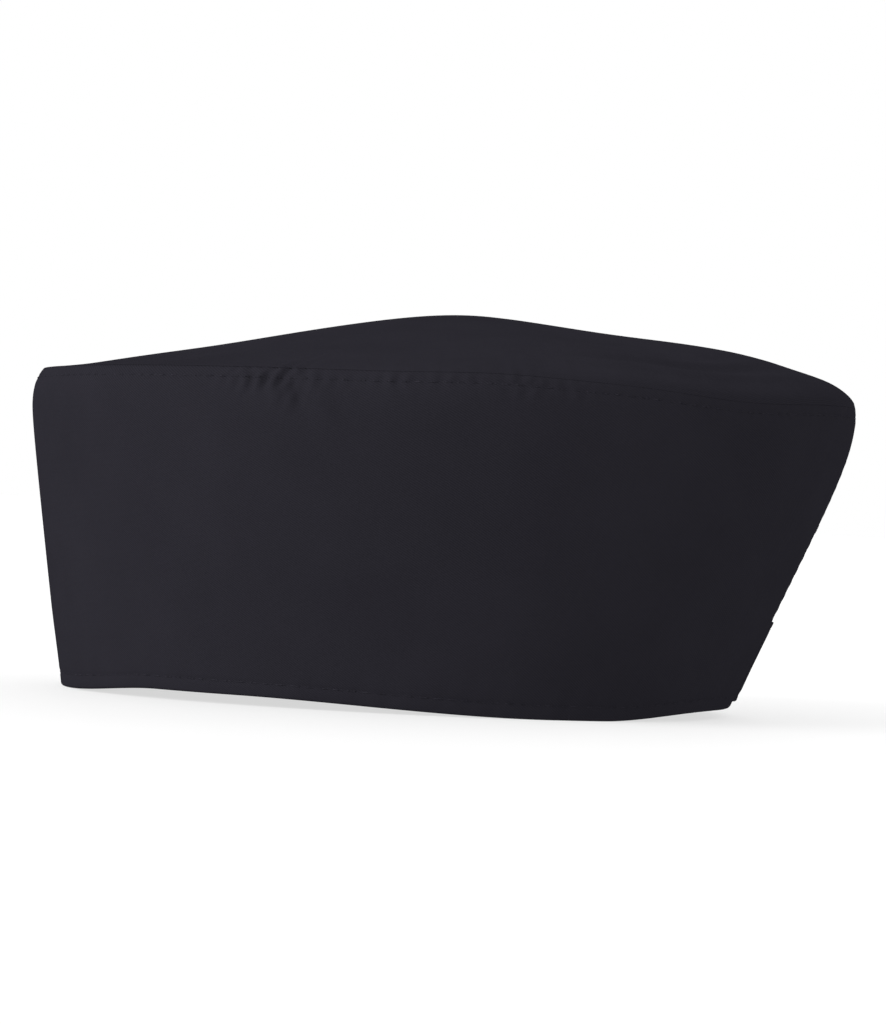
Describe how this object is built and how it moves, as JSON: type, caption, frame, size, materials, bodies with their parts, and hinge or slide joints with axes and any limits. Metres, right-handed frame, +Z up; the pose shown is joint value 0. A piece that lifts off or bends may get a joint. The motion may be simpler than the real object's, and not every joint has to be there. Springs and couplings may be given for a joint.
{
  "type": "chef toque",
  "caption": "Low soft chef's toque in dark twill: flared lined side band, soft domed crown, sweatband and a touch-and-close strap across a vent slit at the back.",
  "frame": {"origin": "centre of the hat's bounding box in plan, on the plane that the hem rests on", "axes": "+Z up from the hem to the crown; the wearer faces -Y and +X is the wearer's left; the vent slit and strap are at +Y"},
  "size_m": [0.2146, 0.2496, 0.1177],
  "materials": {
    "outer_twill": "matt polyester-cotton twill, very dark charcoal",
    "lining_twill": "matt twill, the same cloth as the outside",
    "interlining": "stiff non-woven interlining, off-white",
    "sweatband_cotton": "soft brushed cotton, black",
    "binding_tape": "woven cotton tape, black",
    "thread": "polyester sewing thread, charcoal",
    "loop_pile": "brushed loop tape, black",
    "hook_tape": "moulded hook tape, black",
    "label_satin": "woven satin label, white, unprinted"
  },
  "bodies": {
    "hat": {"crown_panel": "outer_twill", "outer_band": "outer_twill", "band_interlining": "interlining", "band_facing": "lining_twill", "sweatband": "sweatband_cotton", "crown_seam_binding": "binding_tape", "crown_topstitch": "thread", "hem_topstitch": "thread", "sweatband_stitch": "thread", "binding_stitch": "thread", "back_seam_topstitch": "thread", "slit_topstitch": "thread", "slit_bartack": "thread", "strap_bartacks": "thread", "loop_tape": "loop_pile", "loop_tape_stitch": "thread"},
    "strap": {"strap_outer": "outer_twill", "strap_facing": "lining_twill", "hook_tape": "hook_tape", "strap_edge_stitch": "thread", "hook_tape_stitch": "thread"},
    "care_label": {"care_label": "label_satin", "size_label": "label_satin", "label_stitch": "thread"}
  },
  "joints": [
    {"name": "strap_peel", "type": "hinge", "parent": "hat", "child": "strap", "pos_m": [0.00253, 0.09629, 0.015], "axis": [0.0325, -0.3846, -0.9225], "range_deg": [0, 110]},
    {"name": "label_flip", "type": "hinge", "parent": "hat", "child": "care_label", "pos_m": [-0.04413, 0.10841, 0.0818], "axis": [-0.8764, -0.4816, 0], "range_deg": [0, 70]}
  ]
}
